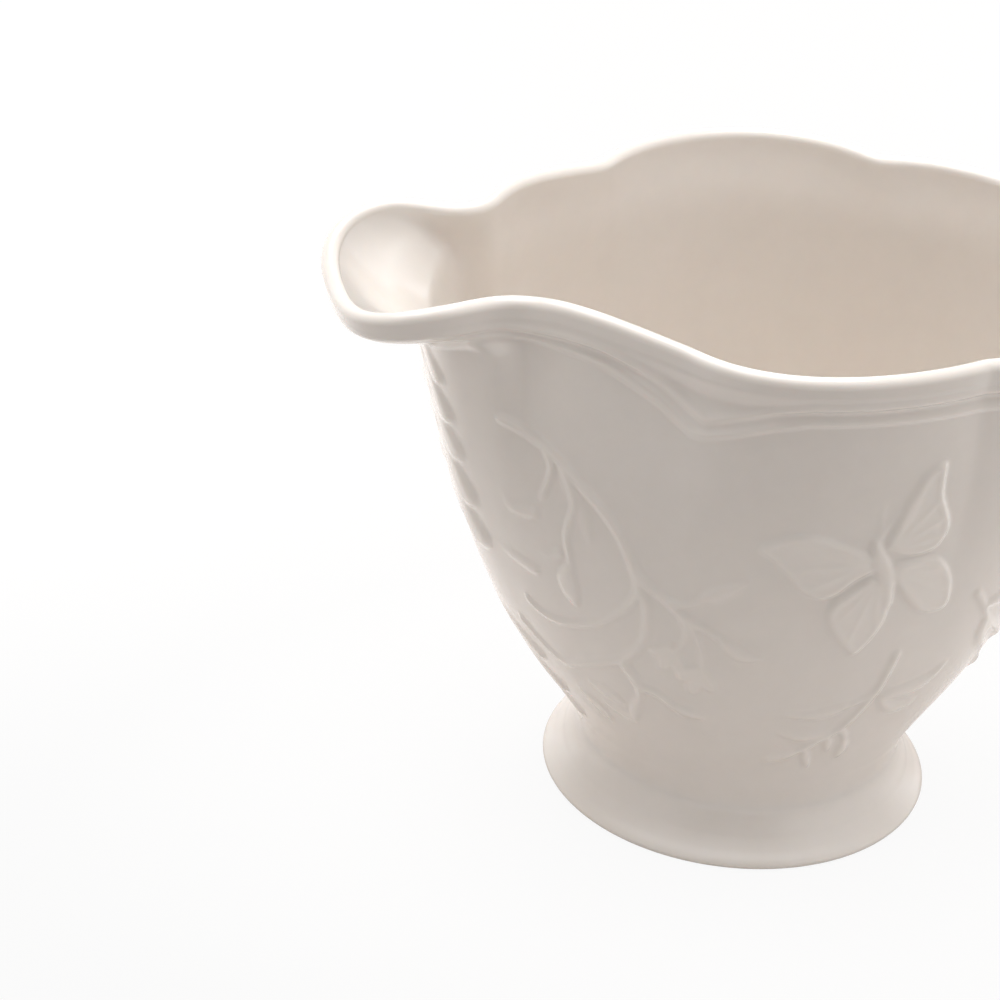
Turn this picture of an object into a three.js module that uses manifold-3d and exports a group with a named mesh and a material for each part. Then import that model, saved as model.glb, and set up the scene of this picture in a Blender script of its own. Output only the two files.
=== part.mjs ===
// Porcelain cream jug: lobed bowl with a broad pouring lip, spreading foot and a scroll handle,
// joined by thin slip layers. Millimetres, +Z up, spout towards -X, handle towards +X.
import * as THREE from 'three';
import * as BufferGeometryUtils from 'three/addons/utils/BufferGeometryUtils.js';
import Module from 'manifold-3d';

const wasm = await Module();
wasm.setup();

// ---- driving dimensions -------------------------------------------------------------------
const AXIS_X = -2.75;           // foot axis, placed so the whole jug is centred on the origin

const WAIST_RADIUS = 25.2;     // narrowest circle, where the bowl stands on the foot
const BOWL_SEAT_Z = 8.7;       // flat underside of the bowl
const BOWL_FLOOR_Z = 12.2;     // inside floor
const WALL = 2.7;              // wall of the bowl
const FLOOR_CORNER_EXTRA = 1.0; // the wall is this much thicker at the floor
const RIM_ROUND = 1.4;         // radius of the rounded rim

const BELLY_SPOUT = 55.3;      // oval the wall grows towards low down: spout side
const BELLY_HANDLE = 57.3;     // handle side
const BELLY_SIDE = 34.5;       // half width
const PROFILE_LOW = { height: 0.162, spread: 0.081 };   // curve of the wall, waist to rim
const PROFILE_HIGH = { height: 0.174, spread: 0.717 };
const LOBE_GROWTH = 1.6;       // how late the scallops appear on the way up
const PROW = 59.7;             // wall under the spout and beside it, in one sweep
const PROW_WIDTH = 21.3;
const PROW_FLANK = [-47, 14.6];
const PROW_LOBES = 3;          // scallops of the rim that stand over this sweep
const NECK_DROP = 0.2;         // height share by which the corner beside the spout turns in earlier
const NECK_SIZE = 6;
const LIP_START = 0.905;       // height share where the wall turns out into the spout
const LIP_END = 0.97;
const LIP_THICKNESS = 0.032;   // thickness of the spout floor, as a height share
const EDGE_START = 0.93;       // height share where the rim edge turns out

// rim crest from the spout tip to the handle end, one cubic per lobe: [x, y, z]
const RIM = [
  [[-71.2, 0, 91.3], [-71.5, 8.8, 91.3], [-70, 16.2, 94.8], [-60.5, 16.1, 96.3]],
  [[-60.5, 16.1, 96.3], [-55, 16.1, 96.8], [-50.5, 11.5, 95.8], [-44.5, 14.8, 96.5]],
  [[-44.5, 14.8, 96.5], [-40, 19.5, 98.6], [-31.5, 23.5, 96.2], [-23.4, 28.2, 94.4]],
  [[-23.4, 28.2, 94.4], [-13, 40.6, 93.6], [9.5, 39.6, 94.8], [21.9, 30.6, 91.8]],
  [[21.9, 30.6, 91.8], [37, 30.4, 91.3], [50, 17, 91.6], [50, 0, 92.6]],
];
const RIM_STEPS = [7, 7, 8, 12, 12];
const SPOUT_LOBES = 2;

const WALL_ROWS = 11;          // mesh rows up to the lip, then over the lip and the rim
const LIP_ROWS = 9;
const LIP_ROWS_START = 0.935;
const RIM_ROWS = 4;
const INNER_START = 0.16;

const FOOT_RADIUS = 30;
const FOOT_TOP_Z = 8.3;
const FOOT_BORE = 21.5;        // hollow under the bowl
const FOOT_RING_INNER = 25.6;  // inner edge of the resting ring
const SLIP = 0.4;              // luting slip between separately made pieces
const FOOT_STEPS = 64;

const ROOT_HALF_WIDTH = 6.6;   // handle section at its two roots
const ROOT_HALF_DEPTH = 4.6;
const GRIP_HALF_WIDTH = 5.2;   // handle section at the grip
const GRIP_HALF_DEPTH = 3.5;
const SLIP_LEDGE = 0.35;       // slip stands this much proud of the joint
const HANDLE_STEPS = 30;
const HANDLE_SIDES = 16;
const UPPER_ROOT = { x: 53.2, z: 83.6, tilt: 18 };   // degrees above horizontal
const LOWER_ROOT = { x: 47.5, z: 40.0, tilt: 8 };
const HANDLE_RISE = 17;        // reach of the curve from each root
const HANDLE_DROP = 21;
const HANDLE_BACK = { x: 74.6, z: 66 };
const HANDLE_BACK_UP = 15;
const HANDLE_BACK_DOWN = 13;
const THUMB_SCROLL = [[60.5, 86], [65.5, 91], [70.5, 94.4], [74.4, 93.4], [74.6, 89.6], [71.6, 88.4]];
const SPUR = [[67.6, 49], [65.2, 44], [64.4, 39.4], [66.4, 36.2], [69.6, 37.2]];
const SCROLL_STEPS = 18;

const GLAZE_WHITE = 0xefe9e2;

// ---- small helpers ------------------------------------------------------------------------
const rad = (deg) => (deg * Math.PI) / 180;
const smooth = (a, b, x) => {
  const u = Math.min(1, Math.max(0, (x - a) / (b - a)));
  return u * u * (3 - 2 * u);
};
const cubic = (p, t) => p[0].map((_, k) => {
  const s = 1 - t;
  return s * s * s * p[0][k] + 3 * s * s * t * p[1][k] + 3 * s * t * t * p[2][k] + t * t * t * p[3][k];
});

// closed surface from a pole, rows of equal length and a second pole
function surface(startPole, rows, endPole) {
  const n = rows[0].length;
  const pos = [...startPole, ...rows.flat(2), ...endPole];
  const idx = [];
  const last = 1 + rows.length * n;
  for (let j = 0; j < n; j++) {
    const k = (j + 1) % n;
    idx.push(0, 1 + k, 1 + j);
    idx.push(last, last - n + j, last - n + k);
    for (let i = 0; i < rows.length - 1; i++) {
      const a = 1 + i * n + j, b = 1 + i * n + k, c = a + n, d = b + n;
      idx.push(a, b, d, a, d, c);
    }
  }
  const g = new THREE.BufferGeometry();
  g.setAttribute('position', new THREE.Float32BufferAttribute(pos, 3));
  g.setIndex(idx);
  return g;
}

function toManifold(geometry) {
  const g = geometry.clone();
  g.deleteAttribute('normal');
  g.deleteAttribute('uv');
  const m = BufferGeometryUtils.mergeVertices(g, 1e-4);
  return new wasm.Manifold(new wasm.Mesh({
    numProp: 3,
    vertProperties: new Float32Array(m.attributes.position.array),
    triVerts: new Uint32Array(m.index.array),
  }));
}

function fromManifold(solid) {
  const m = solid.getMesh();
  const g = new THREE.BufferGeometry();
  g.setAttribute('position', new THREE.Float32BufferAttribute(Array.from(m.vertProperties), 3));
  g.setIndex(Array.from(m.triVerts));
  return g;
}

// ---- bowl wall ----------------------------------------------------------------------------
function rimLoop() {
  const end = RIM[PROW_LOBES - 1][3];
  const prow = [[-PROW, 0], [-PROW, PROW_WIDTH], PROW_FLANK, [end[0], end[1]]];
  const half = [];
  RIM.forEach((lobe, k) => {
    for (let i = 0; i < RIM_STEPS[k]; i++) {
      const t = i / RIM_STEPS[k];
      const rim = cubic(lobe, t);
      // the wall under the spout is a plain prow without the spout's spread
      const wall = k < PROW_LOBES ? cubic(prow, (k + t) / PROW_LOBES) : [rim[0], rim[1]];
      half.push({ rim, wall });
    }
  });
  const last = RIM[RIM.length - 1][3];
  half.push({ rim: last, wall: [last[0], last[1]] });
  const mirror = half.slice(1, -1).reverse().map((p) => ({
    rim: [p.rim[0], -p.rim[1], p.rim[2]],
    wall: [p.wall[0], -p.wall[1]],
  }));
  // counter-clockwise seen from above
  return [...half, ...mirror].reverse();
}

const LOOP = rimLoop();

// how near each rim point is to the corner between the spout and the first scallop
const NECK = LOOP.map(({ rim }) => {
  const corner = RIM[SPOUT_LOBES][0];
  const away = Math.hypot(rim[0] - corner[0], Math.abs(rim[1]) - corner[1]);
  return Math.exp(-((away / NECK_SIZE) ** 2));
});

function loopNormals(loop) {
  return loop.map((_, i) => {
    const a = loop[(i + loop.length - 1) % loop.length];
    const b = loop[(i + 1) % loop.length];
    const d = [b[0] - a[0], b[1] - a[1]];
    const len = Math.hypot(...d);
    return [d[1] / len, -d[0] / len];
  });
}
const RIM_NORMALS = loopNormals(LOOP.map((p) => p.rim));

// section of the wall for a profile position s (0 waist, 1 rim), without the spout's spread
function wallRow(s) {
  const b1 = 3 * (1 - s) * (1 - s) * s, b2 = 3 * (1 - s) * s * s, b3 = s * s * s;
  const t = b1 * PROFILE_LOW.height + b2 * PROFILE_HIGH.height + b3;
  const g = b1 * PROFILE_LOW.spread + b2 * PROFILE_HIGH.spread + b3;
  const w = t ** LOBE_GROWTH;
  const points = LOOP.map((p) => {
    const angle = Math.atan2(p.wall[1] / 36, p.wall[0] / 50);
    const c = Math.cos(angle), sn = Math.sin(angle);
    const belly = [(c > 0 ? BELLY_HANDLE : BELLY_SPOUT) * c, BELLY_SIDE * sn];
    return [
      WAIST_RADIUS * c * (1 - g) + ((1 - w) * belly[0] + w * p.wall[0]) * g,
      WAIST_RADIUS * sn * (1 - g) + ((1 - w) * belly[1] + w * p.wall[1]) * g,
      BOWL_SEAT_Z + (p.rim[2] - RIM_ROUND - BOWL_SEAT_Z) * t,
    ];
  });
  return { t, points, normals: loopNormals(points) };
}

// the wall row moved by the spout's spread and by an offset along the wall and rim normals
function shapedRow(s, lipLag, alongWall, alongRim) {
  const { t, points, normals } = wallRow(s);
  const lip = NECK.map((near) => smooth(
    LIP_START - NECK_DROP * near + lipLag, Math.min(1, LIP_END + lipLag), t));
  const wallOffset = alongWall(t), rimOffset = alongRim(t);
  return points.map((q, i) => [0, 1].map((k) => q[k]
    + (LOOP[i].rim[k] - LOOP[i].wall[k]) * lip[i]
    + normals[i][k] * wallOffset
    + RIM_NORMALS[i][k] * rimOffset).concat(q[2]));
}

const outerRow = (s) => shapedRow(s, 0, () => 0, (t) => RIM_ROUND * smooth(EDGE_START, 0.985, t));

function innerRow(s, depth = WALL) {
  const edge = (t) => smooth(0.88, 1, t);
  const extra = (t) => FLOOR_CORNER_EXTRA * (1 - t) ** 3;
  return shapedRow(s, LIP_THICKNESS, (t) => -(depth + extra(t)) * (1 - edge(t)), (t) => -RIM_ROUND * edge(t));
}

const rowPositions = (start) => {
  const list = [];
  for (let i = 0; i < WALL_ROWS; i++) list.push(start + ((LIP_ROWS_START - start) * i) / WALL_ROWS);
  for (let i = 0; i <= LIP_ROWS; i++) list.push(LIP_ROWS_START + ((1 - LIP_ROWS_START) * i) / LIP_ROWS);
  return list;
};

const scaleRow = (row, k, z) => row.map((q) => [q[0] * k, q[1] * k, z]);

function bowlGeometry() {
  const rows = [scaleRow(wallRow(0).points, 0.5, BOWL_SEAT_Z)];
  rowPositions(0).forEach((s) => rows.push(outerRow(s)));
  for (let i = 1; i < RIM_ROWS; i++) {
    const a = (Math.PI * i) / RIM_ROWS;
    rows.push(LOOP.map((p, k) => [
      p.rim[0] + RIM_NORMALS[k][0] * RIM_ROUND * Math.cos(a),
      p.rim[1] + RIM_NORMALS[k][1] * RIM_ROUND * Math.cos(a),
      p.rim[2] - RIM_ROUND + RIM_ROUND * Math.sin(a),
    ]));
  }
  rowPositions(INNER_START).reverse().forEach((s) => rows.push(innerRow(s)));
  const low = innerRow(INNER_START);
  rows.push(scaleRow(low, 0.95, BOWL_FLOOR_Z + 0.6));
  rows.push(scaleRow(low, 0.85, BOWL_FLOOR_Z));
  rows.push(scaleRow(low, 0.45, BOWL_FLOOR_Z));
  return surface([0, 0, BOWL_SEAT_Z], rows, [0, 0, BOWL_FLOOR_Z]);
}

// everything inside the middle of the wall, used to trim the handle bosses
function wallCore() {
  const rows = [];
  for (let i = 0; i <= 14; i++) rows.push(innerRow(i / 14, WALL * 0.5));
  return surface([0, 0, BOWL_SEAT_Z + 1.2], rows, [0, 0, 92]);
}

// ---- handle -------------------------------------------------------------------------------
const direction = (deg) => new THREE.Vector3(Math.cos(rad(deg)), 0, Math.sin(rad(deg)));

// closed tube along stations: centre, unit normal in the XZ plane, half depth and half width
function tube(stations, sides = HANDLE_SIDES) {
  const rows = stations.map(({ centre, out, depth, width }) => {
    const row = [];
    for (let j = 0; j < sides; j++) {
      const a = (2 * Math.PI * j) / sides;
      const d = depth * Math.cos(a), w = width * Math.sin(a);
      row.push([centre.x + out.x * d, centre.y + w, centre.z + out.z * d]);
    }
    return row;
  });
  const first = stations[0].centre, last = stations[stations.length - 1].centre;
  return surface([first.x, first.y, first.z], rows, [last.x, last.y, last.z]);
}

function along(curve, steps, section, reverseEnd) {
  const stations = [];
  for (let i = 0; i <= steps; i++) {
    const u = i / steps;
    const centre = curve.getPoint(u);
    const t = reverseEnd?.(u) ?? curve.getTangent(u);
    const out = new THREE.Vector3(t.z, 0, -t.x).normalize();
    stations.push({ centre, out, ...section(u) });
  }
  return stations;
}

const upperDir = direction(UPPER_ROOT.tilt);
const lowerDir = direction(LOWER_ROOT.tilt);
const upperPoint = new THREE.Vector3(UPPER_ROOT.x, 0, UPPER_ROOT.z);
const lowerPoint = new THREE.Vector3(LOWER_ROOT.x, 0, LOWER_ROOT.z);

function rootSpan(point, dir, from, to, grow, taper = 0) {
  const out = new THREE.Vector3(dir.z, 0, -dir.x);
  return [from, (from + to) / 2, to].map((d, i) => ({
    centre: point.clone().addScaledVector(dir, d),
    out,
    depth: ROOT_HALF_DEPTH + grow + taper * (2 - i),
    width: ROOT_HALF_WIDTH + grow + taper * (2 - i),
  }));
}

const scroll = (points) => new THREE.CatmullRomCurve3(points.map(([x, z]) => new THREE.Vector3(x, 0, z)));

// section of a scroll, rounded off at its free end
function taper(u, depth, width, endDepth, endWidth) {
  const cap = Math.sqrt(Math.max(0.04, 1 - Math.max(0, (u - 0.86) / 0.14) ** 2));
  return {
    depth: (depth + (endDepth - depth) * u) * cap,
    width: (width + (endWidth - width) * u) * cap,
  };
}

function handleGeometry() {
  const back = new THREE.Vector3(HANDLE_BACK.x, 0, HANDLE_BACK.z);
  const start = upperPoint.clone().addScaledVector(upperDir, SLIP);
  const end = lowerPoint.clone().addScaledVector(lowerDir, SLIP);
  const upper = new THREE.CubicBezierCurve3(
    start, start.clone().addScaledVector(upperDir, HANDLE_RISE),
    back.clone().add(new THREE.Vector3(0, 0, HANDLE_BACK_UP)), back,
  );
  const lower = new THREE.CubicBezierCurve3(
    back, back.clone().add(new THREE.Vector3(0, 0, -HANDLE_BACK_DOWN)),
    end.clone().addScaledVector(lowerDir, HANDLE_DROP), end,
  );
  const half = HANDLE_STEPS / 2;
  const grip = (k) => ({
    depth: GRIP_HALF_DEPTH + (ROOT_HALF_DEPTH - GRIP_HALF_DEPTH) * k,
    width: GRIP_HALF_WIDTH + (ROOT_HALF_WIDTH - GRIP_HALF_WIDTH) * k,
  });
  const a = along(upper, half, (u) => grip((1 - u) ** 3), (u) => (u === 0 ? upperDir : undefined));
  const b = along(lower, half, (u) => grip(u ** 3), (u) => (u === 1 ? lowerDir.clone().negate() : undefined));
  const body = toManifold(tube([...a, ...b.slice(1)]));

  // thumb scroll on top of the handle, curling up and back
  const thumb = toManifold(tube(along(scroll(THUMB_SCROLL), SCROLL_STEPS, (u) => taper(u, 3.1, 4.6, 1.9, 3.4)), 14));
  // small spur under the lower bend
  const spur = toManifold(tube(along(scroll(SPUR), SCROLL_STEPS, (u) => taper(u, 2.7, 4.2, 1.6, 2.8)), 14));
  return fromManifold(body.add(thumb).add(spur));
}

// ---- foot ---------------------------------------------------------------------------------
function foot() {
  const profile = [
    [FOOT_BORE, FOOT_TOP_Z], [FOOT_BORE, 5.4], [22.6, 3.6], [24.6, 1.4], [FOOT_RING_INNER, 0],
    [28.9, 0], [29.7, 0.25], [FOOT_RADIUS, 0.8], [29.7, 1.4], [28.5, 2.6], [27.2, 4.2],
    [26.2, 5.8], [25.5, 7.2], [25.2, FOOT_TOP_Z], [FOOT_BORE, FOOT_TOP_Z],
  ];
  return lathe(profile, FOOT_STEPS);
}

function lathe(profile, steps) {
  const g = new THREE.LatheGeometry(profile.map(([r, z]) => new THREE.Vector2(r, z)), steps);
  g.rotateX(Math.PI / 2);
  return g;
}

// ---- assembly -----------------------------------------------------------------------------
function piece(name, geometry, colour = GLAZE_WHITE) {
  const g = geometry.clone();
  g.translate(AXIS_X, 0, 0);
  g.computeVertexNormals();
  const material = new THREE.MeshStandardMaterial({ color: colour, roughness: 0.2, metalness: 0 });
  const mesh = new THREE.Mesh(g, material);
  mesh.name = name;
  return mesh;
}

const core = toManifold(wallCore());
const upperBoss = toManifold(tube(rootSpan(upperPoint, upperDir, -9, 0, 0, 0.3))).subtract(core);
const lowerBoss = toManifold(tube(rootSpan(lowerPoint, lowerDir, -10, 0, 0, 0.3))).subtract(core);
const bowl = toManifold(bowlGeometry()).add(upperBoss).add(lowerBoss);

const footSlip = lathe([
  [FOOT_BORE + 0.6, FOOT_TOP_Z], [24.9, FOOT_TOP_Z], [24.9, BOWL_SEAT_Z],
  [FOOT_BORE + 0.6, BOWL_SEAT_Z], [FOOT_BORE + 0.6, FOOT_TOP_Z],
], FOOT_STEPS);

const jug = new THREE.Group();
jug.name = 'cream_jug';
jug.add(piece('bowl', fromManifold(bowl)));
jug.add(piece('foot', foot()));
jug.add(piece('foot_slip_joint', footSlip));
jug.add(piece('handle', handleGeometry()));
jug.add(piece('handle_upper_slip_joint', tube(rootSpan(upperPoint, upperDir, 0, SLIP, SLIP_LEDGE))));
jug.add(piece('handle_lower_slip_joint', tube(rootSpan(lowerPoint, lowerDir, 0, SLIP, SLIP_LEDGE))));

export default jug;
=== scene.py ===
import math

import bpy
import numpy as np
from mathutils import Matrix, Vector


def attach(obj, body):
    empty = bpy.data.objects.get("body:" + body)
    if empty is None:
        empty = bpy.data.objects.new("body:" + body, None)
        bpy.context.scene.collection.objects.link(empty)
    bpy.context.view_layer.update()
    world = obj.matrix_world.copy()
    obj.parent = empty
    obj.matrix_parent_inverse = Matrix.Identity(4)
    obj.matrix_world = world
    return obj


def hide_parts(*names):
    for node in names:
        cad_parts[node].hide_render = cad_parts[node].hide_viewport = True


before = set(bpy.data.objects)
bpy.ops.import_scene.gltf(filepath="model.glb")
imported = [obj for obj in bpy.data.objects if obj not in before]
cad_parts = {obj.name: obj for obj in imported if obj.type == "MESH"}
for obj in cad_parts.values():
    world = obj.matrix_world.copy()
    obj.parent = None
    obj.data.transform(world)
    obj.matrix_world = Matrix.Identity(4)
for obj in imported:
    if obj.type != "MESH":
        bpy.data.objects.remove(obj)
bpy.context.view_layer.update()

# Porcelain cream jug. Shapes are worked out in millimetres about the foot axis, with +Z up,
# the spout towards -X and the handle towards +X, and moved to the row frame at the end.
AXIS_X = -2.75          # where the foot axis stands in the row frame

# ---- bowl -----------------------------------------------------------------------------------
WAIST_RADIUS = 25.2
BOWL_SEAT_Z = 8.7
BOWL_FLOOR_Z = 12.2
WALL = 2.7
FLOOR_CORNER_EXTRA = 1.0
RIM_ROUND = 1.4
BELLY_SPOUT, BELLY_HANDLE, BELLY_SIDE = 55.3, 57.3, 34.5
OVAL = (50, 36)                   # half length and half width that set the bearings round the wall
PROFILE_LOW = (0.162, 0.081)      # height and spread of the wall curve
PROFILE_HIGH = (0.174, 0.717)
LOBE_GROWTH = 1.6
# the wall runs round the spout end in one sweep, below the first lobes of the rim
PROW, PROW_WIDTH, PROW_FLANK, PROW_LOBES = 59.7, 21.3, (-47, 14.6), 3
NECK_START, NECK_END, NECK_SIZE = 0.55, 1.15, 8.0
LIP_START, LIP_END, LIP_THICKNESS = 0.905, 0.97, 0.032
EDGE_START, EDGE_END = 0.93, 0.985
# crest of the rim on one side: cubic lobes from the tip of the spout to the handle
RIM = [
    [(-71.2, 0, 91.3), (-71.5, 8.8, 91.3), (-70, 16.2, 94.8), (-60.5, 16.1, 96.3)],
    [(-60.5, 16.1, 96.3), (-55, 16.1, 96.8), (-50.5, 11.5, 95.8), (-44.5, 14.8, 96.5)],
    [(-44.5, 14.8, 96.5), (-40, 19.5, 98.6), (-31.5, 23.5, 96.2), (-23.4, 28.2, 94.4)],
    [(-23.4, 28.2, 94.4), (-13, 40.6, 93.6), (9.5, 39.6, 94.8), (21.9, 30.6, 91.8)],
    [(21.9, 30.6, 91.8), (37, 30.4, 91.3), (50, 17, 91.6), (50, 0, 92.6)],
]
LOBE_STEPS = (34, 34, 62, 125, 108)
LINE_SOFT, NORMAL_SOFT = 2.6, 3.5       # blurs along the rim, in steps
OUTER_ROWS, RIM_ROWS, INNER_ROWS = 272, 12, 60
INNER_START = 0.16
INNER_SOFT = 6.0
# the inside floor: share of the lowest inner row's size, and height
FLOOR_ROWS = ((0.95, 12.85), (0.90, 12.4), (0.85, BOWL_FLOOR_Z), (0.6, BOWL_FLOOR_Z), (0.3, BOWL_FLOOR_Z))

# ---- foot -----------------------------------------------------------------------------------
FOOT_TOP_Z = 8.3
FOOT_BORE = 21.5
STANDING_RING = (25.7, 29.0)
FOOT_OUTSIDE = [(29.0, 0.0), (29.75, 0.3), (30.0, 0.85), (29.6, 1.5), (28.45, 2.65),
                (27.2, 4.2), (26.2, 5.8), (25.5, 7.2), (25.2, FOOT_TOP_Z)]
FOOT_INSIDE = [(FOOT_BORE, FOOT_TOP_Z), (FOOT_BORE, 6.9), (FOOT_BORE + 0.15, 5.4), (22.6, 3.6),
               (24.4, 1.5), (25.1, 0.5), (STANDING_RING[0], 0.0)]
FOOT_SLIP_BORE = 22.2
WAIST_FILLET = 1.1       # how softly foot and wall run together
WAIST_STEP = 0.05
WAIST_BOTTOM, WAIST_TOP = 3.0, 15.0

# ---- handle ---------------------------------------------------------------------------------
SLIP = 0.4
ROOT_DEPTH, ROOT_WIDTH = 4.6, 6.6
GRIP_DEPTH, GRIP_WIDTH = 3.5, 5.2
UPPER_ROOT = ((53.2, 0, 83.6), 18)       # centre, degrees above horizontal
LOWER_ROOT = ((47.5, 0, 40.0), 8)
HANDLE_RISE, HANDLE_DROP = 17, 21
HANDLE_BACK = (74.6, 0, 66)
HANDLE_BACK_UP, HANDLE_BACK_DOWN = 15, 13
THUMB_SCROLL = [(60.5, 86), (65.5, 91), (70.5, 94.4), (74.4, 93.4), (74.6, 89.6), (71.6, 88.4)]
SPUR = [(67.6, 49), (65.2, 44), (64.4, 39.4), (66.4, 36.2), (69.6, 37.2)]
THUMB_SIZE = (3.1, 4.6, 1.9, 3.4)        # depth and width at the start, then at the end
SPUR_SIZE = (2.7, 4.2, 1.6, 2.8)
HANDLE_VOXEL, HANDLE_SOFTENING = 0.00032, 14
BOSS_FROM_X, BOSS_REACH = 20, 16         # the wall that is drawn out to the handle roots
BOSS_FLARE, BOSS_FALL = 0.62, 2.6
# a collar's section along the root: distance, and how far it stands out
COLLAR = ((-1.3, -0.25), (-1.1, 0.05), (-0.6, 0.22), (0, 0.32), (0.2, 0.34),
          (0.5, 0.32), (1.0, 0.20), (1.5, 0.02), (1.7, -0.30))


def smooth(a, b, x):
    """0 to 1 with a soft start and end while x goes from a to b"""
    u = np.clip((x - a) / (b - a), 0, 1)
    return u * u * (3 - 2 * u)


def cubic(p, t):
    """points of a cubic curve with four control points"""
    p = np.array(p, float)
    t = np.asarray(t, float)[:, None]
    s = 1 - t
    return s**3 * p[0] + 3 * s * s * t * p[1] + 3 * s * t * t * p[2] + t**3 * p[3]


def catmull(points, n):
    """n points along a smooth open curve through the given ones"""
    p = np.array(points, float)
    p = np.concatenate([[2 * p[0] - p[1]], p, [2 * p[-1] - p[-2]]])
    u = np.linspace(0, len(p) - 3, n)
    i = np.minimum(u.astype(int), len(p) - 4)
    t = (u - i)[:, None]
    a, b, c, d = p[i], p[i + 1], p[i + 2], p[i + 3]
    return 0.5 * (2 * b + (c - a) * t + (2 * a - 5 * b + 4 * c - d) * t**2
                  + (3 * b - a - 3 * c + d) * t**3)


def blur_loop(values, sigma, axis=0):
    """Gaussian blur round a closed loop, sigma in samples"""
    reach = int(4 * sigma) + 1
    out = np.zeros_like(values)
    total = 0
    for k in range(-reach, reach + 1):
        w = math.exp(-0.5 * (k / sigma) ** 2)
        out += w * np.roll(values, k, axis)
        total += w
    return out / total


def blur_rows(values, sigma):
    """Gaussian blur from row to row, sigma in rows"""
    reach = int(4 * sigma) + 1
    padded = np.concatenate([values[:1]] * reach + [values] + [values[-1:]] * reach)
    weights = [math.exp(-0.5 * (k / sigma) ** 2) for k in range(-reach, reach + 1)]
    rows = sum(w * padded[k:k + len(values)] for k, w in enumerate(weights))
    return rows / sum(weights)


def unit(v):
    """the same directions at length one"""
    return v / (np.linalg.norm(v, axis=-1, keepdims=True) + 1e-12)


def plan_normals(p):
    d = np.roll(p, -1, -2) - np.roll(p, 1, -2)
    return unit(np.stack([d[..., 1], -d[..., 0]], -1))


def outline():
    """rim crest and wall outline, counter-clockwise seen from above"""
    prow = [(-PROW, 0), (-PROW, PROW_WIDTH), PROW_FLANK, RIM[PROW_LOBES - 1][3][:2]]
    rim, wall = [], []
    for k, (lobe, steps) in enumerate(zip(RIM, LOBE_STEPS)):
        t = np.arange(steps) / steps
        crest = cubic(lobe, t)
        rim.append(crest)
        wall.append(cubic(prow, (k + t) / PROW_LOBES) if k < PROW_LOBES else crest[:, :2])
    end = np.array([RIM[-1][3]], float)
    rim = np.concatenate([*rim, end])
    wall = np.concatenate([*wall, end[:, :2]])
    rim = np.concatenate([rim, rim[1:-1][::-1] * [1, -1, 1]])[::-1]
    wall = np.concatenate([wall, wall[1:-1][::-1] * [1, -1]])[::-1]
    return blur_loop(rim, LINE_SOFT), blur_loop(wall, LINE_SOFT)


RIM_LINE, WALL_LINE = outline()
RIM_NORMALS = unit(blur_loop(plan_normals(RIM_LINE[:, :2]), NORMAL_SOFT))
# how near each rim point is to the corner between the spout and the first scallop
NECK = np.exp(-((RIM_LINE[:, 0] - RIM[2][0][0]) ** 2 + (abs(RIM_LINE[:, 1]) - RIM[2][0][1]) ** 2)
              / NECK_SIZE**2)


def wall_rows(s, lag=0.0):
    """rows of the wall for positions s, with the spout's spread, and their height shares"""
    s = np.asarray(s, float)[:, None]
    b1, b2, b3 = 3 * (1 - s) ** 2 * s, 3 * (1 - s) * s * s, s**3
    t = b1 * PROFILE_LOW[0] + b2 * PROFILE_HIGH[0] + b3
    g = b1 * PROFILE_LOW[1] + b2 * PROFILE_HIGH[1] + b3
    w = t**LOBE_GROWTH
    angle = np.arctan2(WALL_LINE[:, 1] / OVAL[1], WALL_LINE[:, 0] / OVAL[0])
    c, sn = np.cos(angle), np.sin(angle)
    belly_x = np.where(c > 0, BELLY_HANDLE, BELLY_SPOUT) * c
    x = WAIST_RADIUS * c * (1 - g) + ((1 - w) * belly_x + w * WALL_LINE[:, 0]) * g
    y = WAIST_RADIUS * sn * (1 - g) + ((1 - w) * BELLY_SIDE * sn + w * WALL_LINE[:, 1]) * g
    z = BOWL_SEAT_Z + (RIM_LINE[:, 2] - RIM_ROUND - BOWL_SEAT_Z) * t
    normals = unit(blur_loop(plan_normals(np.stack([x, y], -1)), NORMAL_SOFT, 1))
    lip = (smooth(LIP_START + lag, min(1, LIP_END + lag), t) * (1 - NECK)
           + smooth(NECK_START, NECK_END, t) / smooth(NECK_START, NECK_END, 1) * NECK)
    x = x + (RIM_LINE[:, 0] - WALL_LINE[:, 0]) * lip
    y = y + (RIM_LINE[:, 1] - WALL_LINE[:, 1]) * lip
    return np.stack([x, y, z], -1), normals, t


def outer_rows(s):
    p, _, t = wall_rows(s)
    edge = RIM_ROUND * smooth(EDGE_START, EDGE_END, t)
    p[..., :2] += RIM_NORMALS * edge[..., None]
    return p, t


def inner_rows(s):
    p, normals, t = wall_rows(s, LIP_THICKNESS)
    edge = smooth(0.88, 1, t)[..., None]
    depth = (WALL + FLOOR_CORNER_EXTRA * (1 - t) ** 3)[..., None]
    p[..., :2] -= normals * depth * (1 - edge) + RIM_NORMALS * RIM_ROUND * edge
    # the scallops' corners run out softly into the smooth inside
    p[..., :2] += (blur_loop(p, INNER_SOFT, 1) - p)[..., :2] * smooth(1.0, 0.86, t)[..., None]
    return p


def even_rows(count):
    """positions s that lie evenly along the wall, and twice as close where the beads run"""
    s = np.linspace(0, 1, 801)
    p, t = outer_rows(s)
    step = np.linalg.norm(np.diff(p, axis=0), axis=-1).mean(1)
    step *= 1 + smooth(0.78, 0.84, t[1:].mean(1))
    length = np.concatenate([[0], np.cumsum(step)])
    return np.interp(np.linspace(0, length[-1], count), length, s)


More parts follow.
